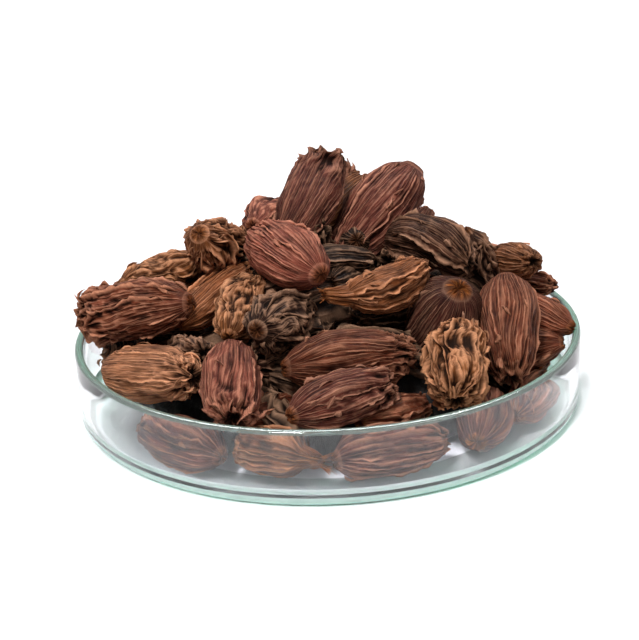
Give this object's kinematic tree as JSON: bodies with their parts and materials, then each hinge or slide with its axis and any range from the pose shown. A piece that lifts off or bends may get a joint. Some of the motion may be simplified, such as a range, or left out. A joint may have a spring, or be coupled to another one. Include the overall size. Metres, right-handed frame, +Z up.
{
  "type": "dish of black cardamom",
  "caption": "Shallow round clear glass dish with straight walls, heaped well above its rim with whole dried black cardamom pods.",
  "frame": {"origin": "centre of the dish's flat underside", "axes": "+Z up, through the middle of the dish; +Y away from the viewer of the picture; +X to that viewer's right"},
  "size_m": [0.15, 0.15, 0.0723],
  "materials": {
    "glass": "clear, with a faint green tint at the rim and the foot",
    "cardamom": "dry, ribbed and wrinkled husk, dark brown with paler ridges"
  },
  "bodies": {
    "root": {"dish": "glass", "cardamom_heap": "cardamom"}
  },
  "joints": []
}
